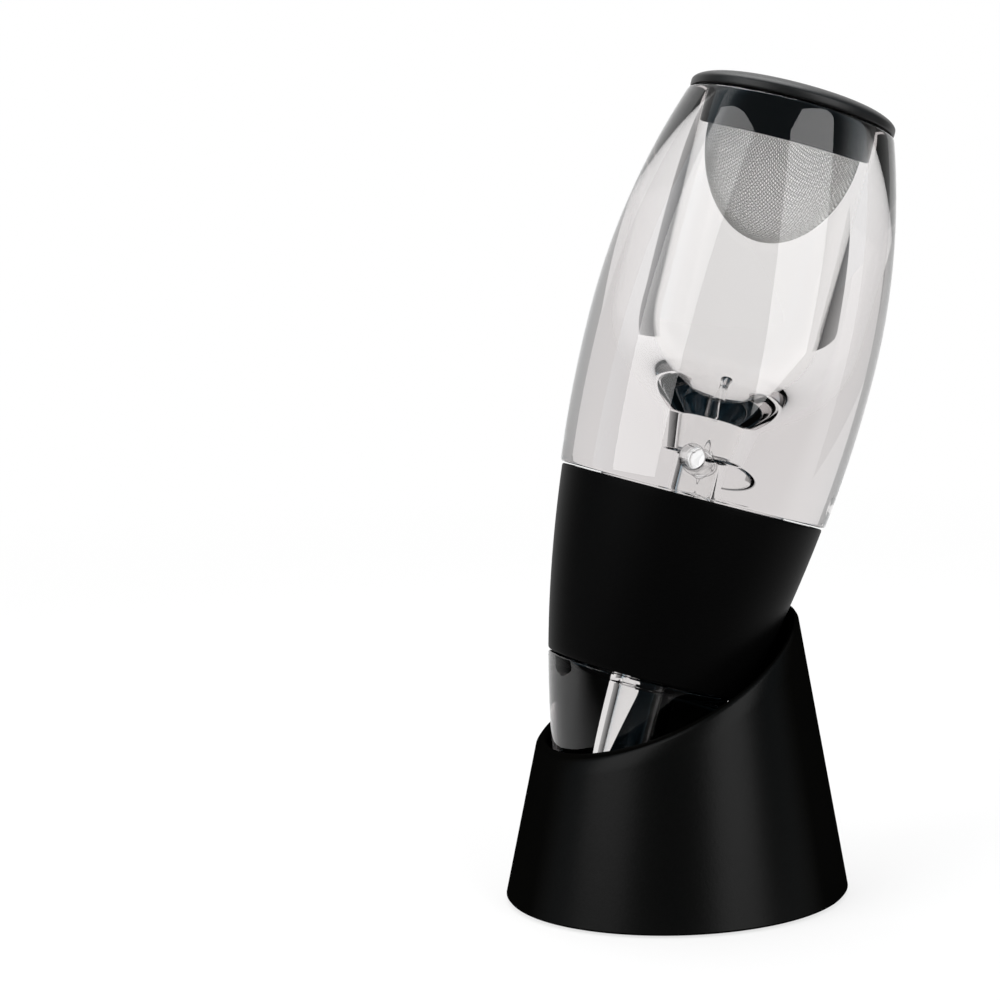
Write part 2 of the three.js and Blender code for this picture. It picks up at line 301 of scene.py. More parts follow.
SHELL_BLACKS = ((0.0012, 0.0012, 0.0011, 1), (0.002, 0.002, 0.0018, 1))
SHELL_CLOUDS = 38
SHELL_GRAIN = 2600
SHELL_GRAIN_DEPTH = 0.02
SHELL_ROUGHNESS = (0.27, 0.37)
SHELL_SHINE = 0.1
SHELL_SHEEN_ENDS = (0.12, 0.5)     # its sheen goes as a face turns away this far
black_shell = Finish("satin_black_plastic")
shell_grain = black_shell.noise(SHELL_GRAIN, detail=3.0, roughness=0.6)
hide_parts("stand_shell")
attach(stand_shell, "stand")
stand_shell.data.materials.append(black_shell.surface(
    Base_Color=black_shell.mix(black_shell.noise(SHELL_CLOUDS), *SHELL_BLACKS),
    Roughness=shell_grain.between(*SHELL_ROUGHNESS),
    Normal=black_shell.bump(shell_grain, SHELL_GRAIN_DEPTH),
    Specular_IOR_Level=SHELL_SHINE,
    dull_edges=SHELL_SHEEN_ENDS,
))

# The drip cup inside the stand. A matte black moulding with a floor, a tilted seat for the
# spout's tip and five ribs, pressed into the shell. Its CAD solid has the right shape.
CUP_BLACKS = ((0.014, 0.014, 0.0138, 1), (0.021, 0.021, 0.0205, 1))
CUP_CLOUDS = 60
CUP_GRAIN = 1800
CUP_GRAIN_DEPTH = 0.03
CUP_ROUGHNESS = (0.52, 0.64)


def dress(node, material):
    """Gives a CAD piece a finer material, and leaves its mesh as it is."""
    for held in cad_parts[node].material_slots:
        held.link = "OBJECT"
        held.material = material


matte_black = Finish("matte_black_plastic")
cup_grain = matte_black.noise(CUP_GRAIN, detail=4.0)
dress("drip_cup", matte_black.surface(
    Base_Color=matte_black.mix(matte_black.noise(CUP_CLOUDS), *CUP_BLACKS),
    Roughness=cup_grain.between(*CUP_ROUGHNESS),
    Normal=matte_black.bump(cup_grain, CUP_GRAIN_DEPTH),
))

# The foot pad. A disc of black foam rubber glued in the shell's open bottom, which carries the
# whole stand. Its cells show as a fine speckle.
FOAM_BLACKS = ((0.012, 0.012, 0.012, 1), (0.034, 0.034, 0.033, 1))
FOAM_CELLS = 1700
FOAM_CELL_DEPTH = 0.06
FOAM_ROUGHNESS = (0.82, 0.92)
foam = Finish("black_foam")
cells = foam.node("ShaderNodeTexVoronoi", {"feature": "F1"}, {
    "Vector": foam.place(), "Scale": FOAM_CELLS,
}, "Distance")
dress("foot_pad", foam.surface(
    Base_Color=foam.mix(cells, *FOAM_BLACKS),
    Roughness=cells.between(*FOAM_ROUGHNESS),
    Normal=foam.bump(cells, FOAM_CELL_DEPTH),
))

# The clear lower spout. A polished bullet of acrylic with a long bore that flares at the tip, a
# recess for the sleeve, and a socket for the chamber.
CLEARANCE = 0.3
SLEEVE_HEIGHT = 34.4
SLEEVE_WALL = 1.8
BORE_RADIUS = 4.2
BORE_MOUTH_RADIUS = 5.0
BORE_MOUTH_HEIGHT = 2.2
SPIGOT_RADIUS = 17.5
SPIGOT_DEPTH = 12.0
SEAL_THICKNESS = 1.2
SPOUT_EDGE = 0.5              # its edges are rounded over this much of their sides
SPOUT_STEPS = 24
RECESS_STEPS = 16
TURNS = 192
EDGE_STEPS = 3
FLAT_CORNER = math.radians(155)    # a corner flatter than this belongs to a curve
ACRYLIC_IOR = 1.49
ACRYLIC_HUE = (0.55, 0.5, 0.5, 1)
ACRYLIC_DENSITY = 15.0
ACRYLIC_TINTS = ((0.98, 0.975, 0.97, 1), (0.99, 0.985, 0.98, 1))
ACRYLIC_CLOUDS = 15
ACRYLIC_FLOW = 24
ACRYLIC_FLOW_DEPTH = 0.01
ACRYLIC_ROUGHNESS = 0.004


def eased(outline, radius):
    """The closed outline with each sharp corner rounded by up to radius."""
    out = []
    for i, corner in enumerate(outline):
        here = Vector(corner)
        before = Vector(outline[i - 1]) - here
        after = Vector(outline[(i + 1) % len(outline)]) - here
        if before.angle(after) > FLAT_CORNER:
            out.append(tuple(here))
            continue
        reach = min(radius, before.length * ROUNDED_SHARE, after.length * ROUNDED_SHARE)
        start = here + before.normalized() * reach
        end = here + after.normalized() * reach
        for t in spread(0, 1, EDGE_STEPS):
            out.append(tuple(start * (1 - t) ** 2 + here * 2 * t * (1 - t) + end * t**2))
    return out


def turned(name, outline, lift=0):
    """A turned ring of the aerator, from a closed outline that runs up its outside."""
    columns = []
    for angle in full_turn(TURNS):
        columns.append([
            aerator_place @ Vector((radius * math.cos(angle), radius * math.sin(angle), height + lift))
            for radius, height in outline
        ])
    return closed_mesh(name, columns)


def spout_stretch(start, end, outset, steps):
    """A stretch of the lower half's outside, moved outwards by outset."""
    return [(spout_radius(height) + outset, height) for height in spread(start, end, steps)]


spout_ledge = SPOUT_HEIGHT - SLEEVE_HEIGHT - CLEARANCE
spout_top = SPOUT_HEIGHT - CLEARANCE
socket_radius = SPIGOT_RADIUS + CLEARANCE
socket_floor = SPOUT_HEIGHT - SPIGOT_DEPTH - SEAL_THICKNESS - 2 * CLEARANCE
lower_spout = turned("clear_spout", eased([
    (BORE_MOUTH_RADIUS, 0),
    *spout_stretch(0, spout_ledge, 0, SPOUT_STEPS),
    *spout_stretch(spout_ledge, spout_top, -SLEEVE_WALL - CLEARANCE, RECESS_STEPS),
    (socket_radius, spout_top),
    (socket_radius, socket_floor),
    (BORE_RADIUS, socket_floor),
    (BORE_RADIUS, BORE_MOUTH_HEIGHT),
], SPOUT_EDGE))


def clear_acrylic(name, worked=None):
    """Polished clear acrylic: faintly wavy from moulding, and greyer the thicker it is. Where it is
    worked by a tool, worked(clear, tone, roughness) gives the new tone and roughness."""
    clear = Finish(name)
    flow = clear.noise(ACRYLIC_FLOW, detail=1.5)
    tone = clear.mix(clear.noise(ACRYLIC_CLOUDS), *ACRYLIC_TINTS)
    roughness = flow * ACRYLIC_ROUGHNESS
    if worked:
        tone, roughness = worked(clear, tone, roughness)
    clear.surface(
        Base_Color=tone,
        Roughness=roughness,
        Transmission_Weight=1.0,
        IOR=ACRYLIC_IOR,
        Normal=clear.bump(flow, ACRYLIC_FLOW_DEPTH),
    )
    depth = clear.node(
        "ShaderNodeVolumeAbsorption", {}, {"Color": ACRYLIC_HUE, "Density": ACRYLIC_DENSITY},
    )
    ending = clear.tree.nodes["Material Output"]
    clear.tree.links.new(depth.socket, ending.inputs["Volume"])
    return clear.material


lower_spout.data.materials.append(clear_acrylic("clear_spout_acrylic"))
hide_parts("lower_spout")
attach(lower_spout, "lower_body")

# The grip sleeve. A band of soft black silicone stretched over the spout's recess, so that it
# lies flush with the clear plastic below it.
SLEEVE_EDGE = 0.45
SLEEVE_STEPS = 20
SLEEVE_BLACKS = ((0.0009, 0.0009, 0.0009, 1), (0.0014, 0.0014, 0.0014, 1))
SLEEVE_CLOUDS = 45
SLEEVE_GRAIN = 3000
SLEEVE_GRAIN_DEPTH = 0.012
SLEEVE_ROUGHNESS = (0.42, 0.5)
SLEEVE_SHINE = 0.03
sleeve_foot = SPOUT_HEIGHT - SLEEVE_HEIGHT
grip_sleeve = turned("grip_band", eased([
    *spout_stretch(sleeve_foot, spout_top, 0, SLEEVE_STEPS),
    *reversed(spout_stretch(sleeve_foot, spout_top, -SLEEVE_WALL, SLEEVE_STEPS)),
], SLEEVE_EDGE))
silicone = Finish("black_silicone")
sleeve_grain = silicone.noise(SLEEVE_GRAIN, detail=3.0)
grip_sleeve.data.materials.append(silicone.surface(
    Base_Color=silicone.mix(silicone.noise(SLEEVE_CLOUDS), *SLEEVE_BLACKS),
    Roughness=sleeve_grain.between(*SLEEVE_ROUGHNESS),
    Normal=silicone.bump(sleeve_grain, SLEEVE_GRAIN_DEPTH),
    Specular_IOR_Level=SLEEVE_SHINE,
))
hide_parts("grip_sleeve")
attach(grip_sleeve, "lower_body")

# The seal. A flat washer of blue-black rubber on the socket's floor, which the chamber's spigot
# stands on. The underside of the chamber's bowl mirrors it, which makes the dark crescent there.
SEAL_BLACKS = ((0.003, 0.009, 0.02, 1), (0.004, 0.012, 0.026, 1))
SEAL_CLOUDS = 200
SEAL_GRAIN = 900
SEAL_ROUGHNESS = (0.4, 0.5)
SEAL_SHINE = 1.0
SEAL_SHEEN_HUE = (0.3, 0.75, 1.0, 1)
rubber = Finish("black_rubber")
dress("joint_seal", rubber.surface(
    Base_Color=rubber.mix(rubber.noise(SEAL_CLOUDS), *SEAL_BLACKS),
    Roughness=rubber.noise(SEAL_GRAIN).between(*SEAL_ROUGHNESS),
    Specular_IOR_Level=SEAL_SHINE,
    Specular_Tint=SEAL_SHEEN_HUE,
))

# The clear upper chamber. A thick barrel of polished acrylic: a straight-sided cavity closes in
# as a bowl to a tapered neck and a narrow throat, and two air inlets run in from the sides.
CHAMBER_HEIGHT = 73.5
CHAMBER_FOOT_RADIUS = 25.5
CROWN_RADIUS = 27.25
CROWN_HEIGHT = 29.0
RIM_RADIUS = 19.8
MOUTH_RADIUS = 16.6
CAVITY_RADIUS = 15.9
BOWL_TOP = 35.0
BOWL_SIDE_SHARE = 0.5         # the bowl's first bend, of its fall to the neck
BOWL_WAIST_SHARE = 0.7        # its last bend, of its reach out from the neck
BOWL_FLOOR_SHARE = 0.28       # and of its rise above the neck
NECK_TOP = 14.6
NECK_TOP_RADIUS = 6.3
NECK_FOOT_RADIUS = 5.3
THROAT_STEP = 7.7
THROAT_RADIUS = 3.3
SPIGOT_CHAMFER = 0.12
CHAMBER_EDGE = 0.55
BARREL_FOOT_STEPS = 20
BARREL_TOP_STEPS = 28
BOWL_STEPS = 28


def barrel_stretch(end_radius, end_height, steps):
    """The barrel's outside from its crown to one end, as a circular arc."""
    rise = end_height - CROWN_HEIGHT
    fall = CROWN_RADIUS - end_radius
    bend = (rise**2 + fall**2) / (2 * fall)
    return [
        (CROWN_RADIUS - bend + math.sqrt(bend**2 - up**2), CROWN_HEIGHT + up)
        for up in spread(0, rise, steps)
    ]


def curve(start, leaving, arriving, end, steps):
    """Points along a cubic curve from its start to its end."""
    return [cubic(start, leaving, arriving, end, t) for t in spread(0, 1, steps)]


bowl_reach = CAVITY_RADIUS - NECK_TOP_RADIUS
bowl_rise = BOWL_TOP - NECK_TOP
upper_chamber = turned("clear_barrel", eased([
    (THROAT_RADIUS, -SPIGOT_DEPTH),
    (SPIGOT_RADIUS - SPIGOT_CHAMFER, -SPIGOT_DEPTH),
    (SPIGOT_RADIUS, SPIGOT_CHAMFER - SPIGOT_DEPTH),
    (SPIGOT_RADIUS, 0),
    *reversed(barrel_stretch(CHAMBER_FOOT_RADIUS, 0, BARREL_FOOT_STEPS)),
    *barrel_stretch(RIM_RADIUS, CHAMBER_HEIGHT, BARREL_TOP_STEPS)[1:],
    (MOUTH_RADIUS, CHAMBER_HEIGHT),
    *curve(
        (CAVITY_RADIUS, BOWL_TOP),
        (CAVITY_RADIUS, BOWL_TOP - bowl_rise * BOWL_SIDE_SHARE),
        (NECK_TOP_RADIUS + bowl_reach * BOWL_WAIST_SHARE, NECK_TOP + bowl_rise * BOWL_FLOOR_SHARE),
        (NECK_TOP_RADIUS, NECK_TOP),
        BOWL_STEPS,
    ),
    (NECK_FOOT_RADIUS, THROAT_STEP),
    (THROAT_RADIUS, THROAT_STEP),
], CHAMBER_EDGE), SPOUT_HEIGHT)


def on_axis(height, turn):
    """A place on the aerator's axis, at a height above its tip and turned about it."""
    return aerator_place @ Matrix.Translation((0, 0, height)) @ Matrix.Rotation(turn, 4, "Z")


# The inlets are drilled in from both sides, right through to the throat. The drill leaves their
# walls grey and a little rough, and their mouths are eased. A thin dark ring of painted shade round
# each mouth stands for the dark reflection in its eased edge.
INLET_RADIUS = 2.1
INLET_HEIGHT = 6.6
INLET_TURN = math.radians(-116)
INLET_MOUTH = 26.1            # how far from the axis an inlet comes out
INLET_EASE = 0.5
DRILL_OVERRUN = 3.0
DRILL_FACETS = 48
DRILLED_GREYS = ((0.6, 0.6, 0.6, 1), (0.9, 0.9, 0.9, 1))
DRILLED_GRAIN = 900
DRILLED_ROUGHNESS = 0.03
DRILLED_MARGIN = 0.05         # the walls' finish reaches this far off the bore
# painted shade: the tone of a thin ring round each mouth, standing for the eased edge's dark
# reflection
MOUTH_PAINTED_SHADE = (0.35, 0.35, 0.35, 1)
MOUTH_SHADE_RING = (0.12, 0.3)      # where the painted dark reflection round the mouth begins and ends, off the bore
LINE_BLUR = 0.05
inlet_way = on_axis(SPOUT_HEIGHT + INLET_HEIGHT, INLET_TURN)


def plain_mesh(piece):
    """Gives a piece the mesh that its modifiers make of it, and removes them."""
    bpy.context.view_layer.update()
    held = bpy.context.evaluated_depsgraph_get()
    mesh = bpy.data.meshes.new_from_object(piece.evaluated_get(held))
    piece.modifiers.clear()
    piece.data = mesh


def drill_inlet(piece, side):
    """Cuts one air inlet from the chamber's axis out through its wall, with an eased mouth."""
    rings = [
        (0, INLET_RADIUS),
        (INLET_MOUTH - INLET_EASE, INLET_RADIUS),
        (INLET_MOUTH + INLET_EASE, INLET_RADIUS + INLET_EASE),
        (CROWN_RADIUS + DRILL_OVERRUN, INLET_RADIUS + INLET_EASE),
    ]
    spots = []
    for reach, radius in rings:
        for angle in full_turn(DRILL_FACETS):
            out = Vector((reach * side, radius * math.cos(angle), radius * math.sin(angle) * side))
            spots.append(tuple(inlet_way @ out * MM))
    last = DRILL_FACETS * (len(rings) - 1)
    faces = [tuple(reversed(range(DRILL_FACETS))), tuple(range(last, last + DRILL_FACETS))]
    for first in range(0, last, DRILL_FACETS):
        for k in range(DRILL_FACETS):
            here = first + k
            after = first + (k + 1) % DRILL_FACETS
            faces.append((here, after, after + DRILL_FACETS, here + DRILL_FACETS))
    mesh = bpy.data.meshes.new("drill")
    mesh.from_pydata(spots, [], faces)
    drill = added("drill", mesh)
    cut = piece.modifiers.new("cut", "BOOLEAN")
    cut.object = drill
    cut.operation = "DIFFERENCE"
    cut.solver = "EXACT"
    plain_mesh(piece)
    bpy.data.objects.remove(drill)


def drilled(clear, tone, roughness):
    """The tone and roughness of the inlets' walls, and the painted dark ring round their mouths that
    stands for the eased edges' dark reflection.
    """
    start = inlet_way.translation * MM
    along = inlet_way.to_3x3() @ Vector((1, 0, 0))
    off = clear.vectors("SUBTRACT", clear.place(), tuple(start))
    apart = clear.length(clear.vectors("CROSS_PRODUCT", off, tuple(along)))
    fades = []
    for beyond in (DRILLED_MARGIN, *MOUTH_SHADE_RING):
        edge = INLET_RADIUS + beyond
        fades.append(clear.ramp(apart, edge * MM, (edge + LINE_BLUR) * MM, 1.0, 0.0))
    wall, inner, outer = fades
    greys = clear.mix(clear.noise(DRILLED_GRAIN, detail=3.0), *DRILLED_GREYS)
    tone = clear.mix(wall, tone, greys)
    # the ring round each mouth is painted shade, for the dark reflection in the eased edge
    return clear.mix(outer - inner, tone, MOUTH_PAINTED_SHADE), roughness + wall * DRILLED_ROUGHNESS


for side in (1, -1):
    drill_inlet(upper_chamber, side)
smoothed(upper_chamber.data)
upper_chamber.data.materials.clear()
upper_chamber.data.materials.append(clear_acrylic("clear_barrel_acrylic", drilled))
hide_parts("upper_chamber")
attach(upper_chamber, "chamber")

# The strainer's rim. A domed flange of satin black plastic that closes the chamber, with a skirt
# that drops into its mouth and a ledge over the mesh.
FLANGE_RADIUS = 19.66
FLANGE_BEVEL = 0.4
FLANGE_EDGE = 1.1             # the height of its upright edge, under the dome
DOME_HEIGHT = 3.48
DOME_RADIUS = 13.4
POURING_RADIUS = 11.5
SKIRT_DEPTH = 8.3
SKIRT_WALL = 1.4
LEDGE_DEPTH = 0.9
DOME_STEPS = 20
POURING_STEPS = 14
FLANGE_BLACKS = ((0.0028, 0.0029, 0.003, 1), (0.004, 0.0041, 0.0042, 1))
FLANGE_CLOUDS = 70
FLANGE_GRAIN = 2400
FLANGE_GRAIN_DEPTH = 0.015
FLANGE_ROUGHNESS = (0.36, 0.46)
FLANGE_SHINE = 0.3
flange_seat = SPOUT_HEIGHT + CHAMBER_HEIGHT + CLEARANCE
skirt_radius = MOUTH_RADIUS - CLEARANCE
skirt_bore = skirt_radius - SKIRT_WALL
dome = curve(
    (FLANGE_RADIUS, FLANGE_EDGE),
    (FLANGE_RADIUS, (FLANGE_EDGE + DOME_HEIGHT) / 2),
    ((DOME_RADIUS + FLANGE_RADIUS) / 2, DOME_HEIGHT),
    (DOME_RADIUS, DOME_HEIGHT),
    DOME_STEPS,
)
pouring_hole = curve(
    (DOME_RADIUS, DOME_HEIGHT),
    (DOME_RADIUS - (DOME_RADIUS - POURING_RADIUS) * 2 / 3, DOME_HEIGHT),
    (POURING_RADIUS, DOME_HEIGHT - (DOME_HEIGHT - FLANGE_EDGE) / 3),
    (POURING_RADIUS, FLANGE_EDGE),
    POURING_STEPS,
)
strainer_rim = turned("strainer_flange", eased([
    (skirt_bore, -SKIRT_DEPTH),
    (skirt_radius, -SKIRT_DEPTH),
    (skirt_radius, 0),
    (FLANGE_RADIUS, 0),
    *dome,
    *pouring_hole[1:],
    (POURING_RADIUS, -LEDGE_DEPTH),
    (skirt_bore, -LEDGE_DEPTH),
], FLANGE_BEVEL), flange_seat)
rim_black = Finish("rim_black_plastic")
rim_grain = rim_black.noise(FLANGE_GRAIN, detail=3.0)
strainer_rim.data.materials.append(rim_black.surface(
    Base_Color=rim_black.mix(rim_black.noise(FLANGE_CLOUDS), *FLANGE_BLACKS),
    Roughness=rim_grain.between(*FLANGE_ROUGHNESS),
    Specular_IOR_Level=FLANGE_SHINE,
    Normal=rim_black.bump(rim_grain, FLANGE_GRAIN_DEPTH),
))
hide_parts("strainer_rim")
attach(strainer_rim, "strainer")

# The strainer's mesh. Fine stainless wire cloth in a plain weave, drawn into a deep cup with its
# edge held under the rim's ledge. Drawing turns the square cells into upright diamonds on two
# sides of the cup, and on the other sides one half of the wires sag round it as hoops.
MESH_DEPTH = 18.7
MESH_TURN = math.radians(7)
WIRE_RADIUS = 0.07
WIRE_SPACING = 0.58
WIRE_SIDES = 3
STRETCH_SHARE = 0.13          # how much wider the drawing stretches the middle of the cloth
NEXT_VERTEX = 1.5             # neighbours along a column are numbered one apart
HALF_VERTEX = 0.5             # keeps a column's first vertex from being rounded down
STEEL_GREYS = ((0.88, 0.87, 0.85, 1), (0.96, 0.95, 0.93, 1))
STEEL_CLOUDS = 420
STEEL_ROUGHNESS = (0.24, 0.36)
mesh_radius = skirt_bore - CLEARANCE - 2 * WIRE_RADIUS
mesh_foot = flange_seat - SKIRT_DEPTH
collar_height = SKIRT_DEPTH - LEDGE_DEPTH - CLEARANCE
bottom_arc = math.pi / 2 * math.sqrt((mesh_radius**2 + MESH_DEPTH**2) / 2)


class Shaping(Finish):
    """A Geometry Nodes tree, built with the same calls as a material."""

    def __init__(self, name):
        self.tree = bpy.data.node_groups.new(name, "GeometryNodeTree")
        for way in ("INPUT", "OUTPUT"):
            self.tree.interface.new_socket("Geometry", in_out=way, socket_type="NodeSocketGeometry")
        self.sizes = self.tree.nodes.new("NodeGroupInput")
        self.set_to = {}

    def size(self, name, kind, value):
        """A named input of the tree, and the value that it is given."""
        made = self.tree.interface.new_socket(name, in_out="INPUT", socket_type=kind)
        self.set_to[made.identifier] = value
        return Value(self, self.sizes.outputs[name])

    def length_size(self, name, millimetres):
        return self.size(name, "NodeSocketFloat", millimetres * MM)

    def applied(self, name, result):
        """The plain mesh that the tree ends in, as an object of its own."""
        ending = self.tree.nodes.new("NodeGroupOutput")
        self.tree.links.new(result.socket, ending.inputs[0])
        carrier = added(name, bpy.data.meshes.new(name))
        grown = carrier.modifiers.new(name, "NODES")
        grown.node_group = self.tree
        for identifier, value in self.set_to.items():
            grown[identifier] = value
        plain_mesh(carrier)
        return carrier


steel = Finish("stainless_wire")
wire_cloud = steel.noise(STEEL_CLOUDS)
steel_wire = steel.surface(
    Base_Color=steel.mix(wire_cloud, *STEEL_GREYS),
    Metallic=1.0,
    Roughness=wire_cloud.between(*STEEL_ROUGHNESS),
)
weave = Shaping("woven_cup")
wires_from_middle = math.ceil((bottom_arc + collar_height) / WIRE_SPACING)
half_wires = weave.size("Wires on each side of the middle", "NodeSocketInt", wires_from_middle)
spacing = weave.length_size("Wire spacing", WIRE_SPACING)
reach = weave.length_size("Radius", mesh_radius)
depth = weave.length_size("Depth", MESH_DEPTH)
bottom = weave.length_size("Arc of the bottom", bottom_arc)
collar = weave.length_size("Collar", collar_height)
wire = weave.length_size("Wire radius", WIRE_RADIUS)
cloth_finish = weave.size("Material", "NodeSocketMaterial", steel_wire)
wires = half_wires * 2 + 1
grid = weave.node("GeometryNodeMeshGrid", {}, {"Vertices X": wires, "Vertices Y": wires}, "Mesh")
index = weave.node("GeometryNodeInputIndex")
column = weave.maths("FLOOR", weave.maths("DIVIDE", index + HALF_VERTEX, wires))
row = index - column * wires
parity = weave.maths("COSINE", (column + row) * math.pi)
along = (column - half_wires) * spacing
across = (row - half_wires) * spacing
turn = weave.maths("ARCTAN2", across, along)
arc = weave.maths("SQRT", along * along + across * across)
share = weave.maths("MINIMUM", weave.maths("DIVIDE", arc, bottom), 1.0)
angle = (share * (1 + STRETCH_SHARE) - share * share * STRETCH_SHARE) * (math.pi / 2)
lift = weave.maths("MAXIMUM", arc - bottom, 0.0)
ends = [weave.node("GeometryNodeInputMeshEdgeVertices", output=end) for end in (0, 1)]
one_way = weave.node(
    "FunctionNodeCompare", {"data_type": "FLOAT", "operation": "LESS_THAN"},
    {0: weave.maths("ABSOLUTE", ends[0] - ends[1]), 1: NEXT_VERTEX},
)
other_way = weave.node("FunctionNodeBooleanMath", {"operation": "NOT"}, {0: one_way})
below_edge = weave.node(
    "FunctionNodeCompare", {"data_type": "FLOAT", "operation": "LESS_THAN"}, {0: lift, 1: collar},
)
within = weave.node(
    "GeometryNodeFieldOnDomain", {"data_type": "BOOLEAN", "domain": "POINT"}, {"Value": below_edge},
)
cloth = weave.node("GeometryNodeJoinGeometry")
for family, over in ((one_way, 1.0), (other_way, -1.0)):
    wave = parity * wire * over
    out = (reach + wave) * weave.maths("SINE", angle)
    up = lift - (depth + wave) * weave.maths("COSINE", angle)
    spot = weave.node("ShaderNodeCombineXYZ", {}, {
        0: out * weave.maths("COSINE", turn), 1: out * weave.maths("SINE", turn), 2: up,
    })
    placed = weave.node("GeometryNodeSetPosition", {}, {"Geometry": grid, "Position": spot})
    kept = weave.node("FunctionNodeBooleanMath", {"operation": "AND"}, {0: family, 1: within})
    lines = weave.node("GeometryNodeMeshToCurve", {}, {0: placed, 1: kept})
    section = weave.node(
        "GeometryNodeCurvePrimitiveCircle", {}, {"Resolution": WIRE_SIDES, "Radius": wire},
    )
    drawn = weave.node("GeometryNodeCurveToMesh", {}, {0: lines, 1: section, "Fill Caps": True})
    weave.tree.links.new(drawn.socket, cloth.socket.node.inputs[0])
plain = weave.node("GeometryNodeRealizeInstances", {}, {0: cloth})
finished = weave.node("GeometryNodeSetMaterial", {}, {0: plain, "Material": cloth_finish})
strainer_mesh = weave.applied("wire_cup", finished)
seat = on_axis(mesh_foot, MESH_TURN)
seat.translation = seat.translation * MM
strainer_mesh.data.transform(seat)
strainer_mesh.data.shade_smooth()
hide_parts("strainer_mesh")
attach(strainer_mesh, "strainer")

# The studio. A white floor and surround, three softboxes, and a dark card behind either side of the
# barrel, which only reflections and the clear plastic see. The camera stands at the photograph's
# place, low in front of the stand. All but the camera's lengths are in metres.
VIEW_AZIMUTH = math.radians(20.99)
AHEAD = Vector((math.sin(VIEW_AZIMUTH), math.cos(VIEW_AZIMUTH), 0))
BESIDE = Vector((AHEAD.y, -AHEAD.x, 0))
ABOVE = Vector((0, 0, 1))
FLOOR_REACH = 6.0
FLOOR_GREY = (0.85, 0.85, 0.85, 1)
FLOOR_FADE = (0.06, 0.7)      # between these distances the shaded floor turns to plain white
FLOOR_NEAR_SHARE = 0.7
FRONT_FADE = (-0.1, 0.0)      # in front of the object a mirror sees the floor darker
FRONT_LIGHT = 0.04
CARD_LIGHT = 0.5
CARD_DARK = 0.005


def bearing(start, angle):
    """A level way, turned by an angle in degrees from the start to the right."""
    return start * math.cos(math.radians(angle)) + BESIDE * math.sin(math.radians(angle))


def flat_sheet(name, corners, material):
    """A flat four-cornered sheet of the studio, which is no piece of the object."""
    mesh = bpy.data.meshes.new(name)
    mesh.from_pydata([tuple(corner) for corner in corners], [], [(0, 1, 2, 3)])
    mesh.materials.append(material)
    sheet = added(name, mesh)
    return sheet


def has_bounced(finish, count):
    """1 for light that has bounced in the way that the light path counts, and 0 for other light."""
    return finish.maths("MINIMUM", finish.node("ShaderNodeLightPath", output=count), 1.0)


floor_white = Finish("floor_white")
outward = floor_white.length(floor_white.place())
fade = floor_white.ramp(outward, *FLOOR_FADE, FLOOR_NEAR_SHARE, 1.0, "SMOOTHSTEP")
seen = floor_white.node("ShaderNodeLightPath", output="Is Camera Ray")
for ray in ("Is Glossy Ray", "Is Transmission Ray"):
    seen = seen + floor_white.node("ShaderNodeLightPath", output=ray)
seen = floor_white.maths("MINIMUM", seen, 1.0)
bounced = has_bounced(floor_white, "Glossy Depth")
behind = floor_white.along(floor_white.place(), AHEAD)
backdrop = floor_white.ramp(behind, *FRONT_FADE, FRONT_LIGHT, 1.0, "SMOOTHSTEP")
level = 1 - bounced + bounced * backdrop
matt = floor_white.node("ShaderNodeBsdfDiffuse", {}, {"Color": FLOOR_GREY})
lit = floor_white.node("ShaderNodeEmission", {}, {"Strength": level})
whiteness = seen * (fade * (1 - bounced) + bounced)
shown = floor_white.node("ShaderNodeMixShader", {}, {0: whiteness, 1: matt, 2: lit})
floor_white.node("ShaderNodeOutputMaterial", {}, {"Surface": shown})
floor_corners = [
    (x * FLOOR_REACH, y * FLOOR_REACH, 0) for x, y in ((-1, -1), (1, -1), (1, 1), (-1, 1))
]
flat_sheet("floor", floor_corners, floor_white.material)


def dark_card(name, near_angle, far_angle, distance, near_span, far_span):
    """A card beside the object that darkens from its near edge to its far one. An edge stands at
    its angle off the way ahead, and spans from one height to another."""
    near = bearing(AHEAD, near_angle) * distance
    far = bearing(AHEAD, far_angle) * distance
    black_card = Finish(name)
    across = (far - near) / (far - near).length_squared
    way_over = black_card.along(black_card.place(), across) - across.dot(near)
    shade = black_card.ramp(way_over, 0.0, 1.0, CARD_LIGHT, CARD_DARK)
    ink = black_card.node("ShaderNodeEmission", {}, {"Strength": shade})
    black_card.node("ShaderNodeOutputMaterial", {}, {"Surface": ink})
    corners = [near + ABOVE * height for height in near_span]
    corners += [far + ABOVE * height for height in reversed(far_span)]
    card = flat_sheet(name, corners, black_card.material)
    card.visible_camera = False
    card.visible_diffuse = False
    card.visible_shadow = False


dark_card(
    "left_card", near_angle=-50, far_angle=-84, distance=0.3,
    near_span=(0, 0.45), far_span=(0, 0.45),
)
dark_card(
    "right_card", near_angle=50, far_angle=84, distance=0.22,
    near_span=(0.055, 0.4), far_span=(0, 0.4),
)

SURROUND_FADE = (-0.35, 0.45)      # a mirror sees the surround dark in front, white behind
SURROUND_DARK = 0.05
SURROUND_FILL = 0.4           # what it lends to matt faces
SHADE_HUE = (0.5, 1.0, 1.35, 1)    # the dark part is a cool one
WHITE = (1, 1, 1, 1)
scene = bpy.context.scene
scene.view_settings.view_transform = "Standard"
surround = bpy.data.worlds.new("studio")
surround.use_nodes = True
scene.world = surround


class Surround(Finish):
    """The world's nodes, built with the same calls as a material."""

    def __init__(self, world):
        self.tree = world.node_tree
        self.tree.nodes.clear()


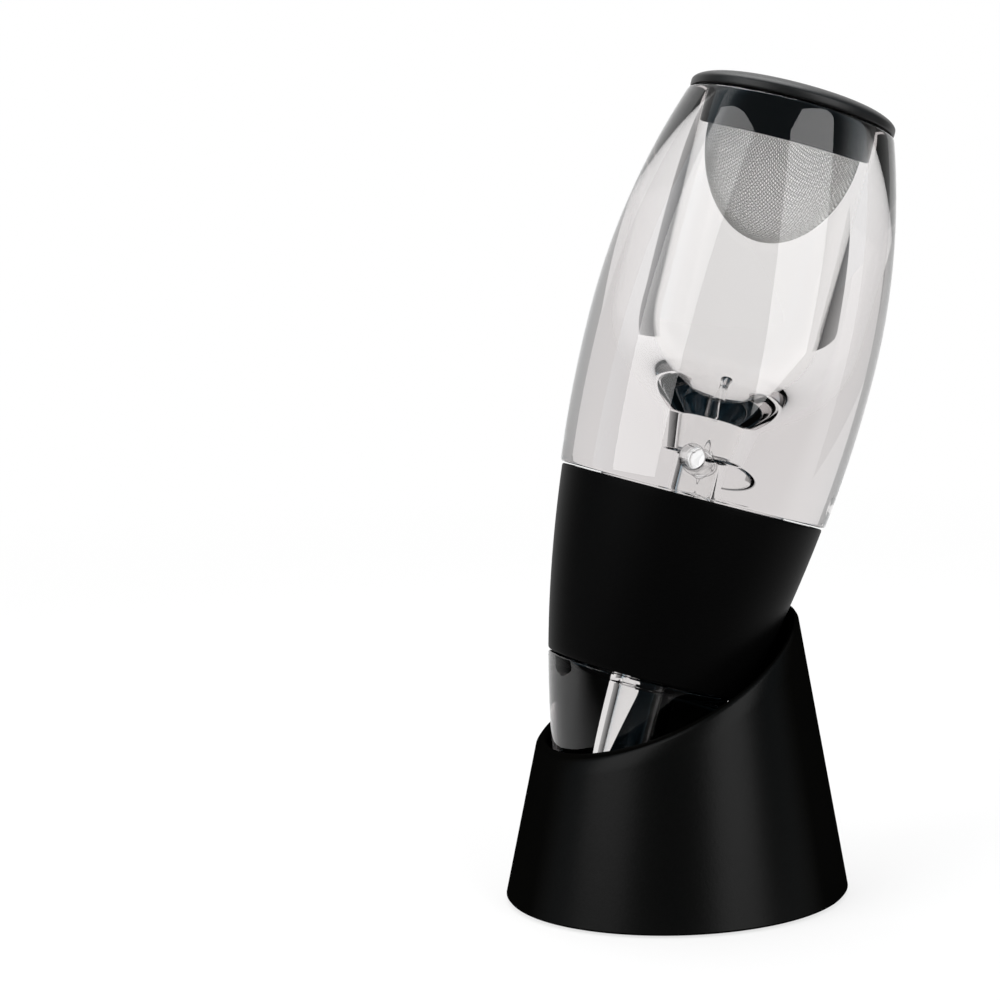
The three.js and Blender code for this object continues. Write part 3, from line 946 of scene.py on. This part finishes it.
sky = Surround(surround)
facing = sky.along(sky.node("ShaderNodeTexCoord", output="Generated"), AHEAD)
mirrored = sky.ramp(facing, *SURROUND_FADE, SURROUND_DARK, 1.0, "SMOOTHSTEP")
reflected = has_bounced(sky, "Glossy Depth")
scattered = has_bounced(sky, "Diffuse Depth")
direct = (1 - reflected) * (1 - scattered)
strength = direct + reflected * mirrored * (1 - scattered) + scattered * SURROUND_FILL
tone = sky.mix(1 - reflected * (1 - mirrored), SHADE_HUE, WHITE)
glow = sky.node("ShaderNodeBackground", {}, {"Color": tone, "Strength": strength})
sky.node("ShaderNodeOutputWorld", {}, {"Surface": glow})

LAMPS_AIM = 0.08              # the height above the floor that the softboxes face


def softbox(name, angle, lift, distance, size, power):
    """A softbox at an angle off the way to the camera and a lift above the floor."""
    level_way = bearing(-AHEAD, angle) * math.cos(math.radians(lift))
    place = (level_way + ABOVE * math.sin(math.radians(lift))) * distance
    lamp = bpy.data.lights.new(name, "AREA")
    lamp.shape = "RECTANGLE"
    lamp.size, lamp.size_y = size
    lamp.energy = power
    held = added(name, lamp)
    held.visible_transmission = False
    held.location = place + ABOVE * LAMPS_AIM
    held.rotation_euler = (-place).to_track_quat("-Z", "Y").to_euler()


softbox("left_softbox", angle=-55, lift=29.5, distance=0.8, size=(0.62, 0.85), power=5.2)
softbox("right_softbox", angle=42, lift=20, distance=0.8, size=(0.5, 0.85), power=5.0)
softbox("top_softbox", angle=180, lift=70, distance=0.9, size=(0.6, 0.6), power=5.0)

VIEW_PITCH = math.radians(6.774)
VIEW_ROLL = math.radians(-1.3)
VIEW_HEIGHT = 132.24
VIEW_DISTANCE = 484.95
VIEW_SIDE = 2.211
VIEW_LENS = 94.28
VIEW_SENSOR = 36.0
VIEW_SHIFT = -0.18
VIEW_START = 10.0
forward = AHEAD * math.cos(VIEW_PITCH) - ABOVE * math.sin(VIEW_PITCH)
upright = AHEAD * math.sin(VIEW_PITCH) + ABOVE * math.cos(VIEW_PITCH)
across_view = BESIDE * math.cos(VIEW_ROLL) + upright * math.sin(VIEW_ROLL)
up_view = -BESIDE * math.sin(VIEW_ROLL) + upright * math.cos(VIEW_ROLL)
eye = bpy.data.cameras.new("view")
eye.lens = VIEW_LENS
eye.sensor_width = VIEW_SENSOR
eye.shift_x = VIEW_SHIFT
eye.clip_start = VIEW_START * MM
camera = added("view", eye)
stance = Matrix((across_view, up_view, -forward)).transposed().to_4x4()
stance.translation = (-AHEAD * VIEW_DISTANCE + ABOVE * VIEW_HEIGHT + BESIDE * VIEW_SIDE) * MM
camera.matrix_world = stance
scene.camera = camera
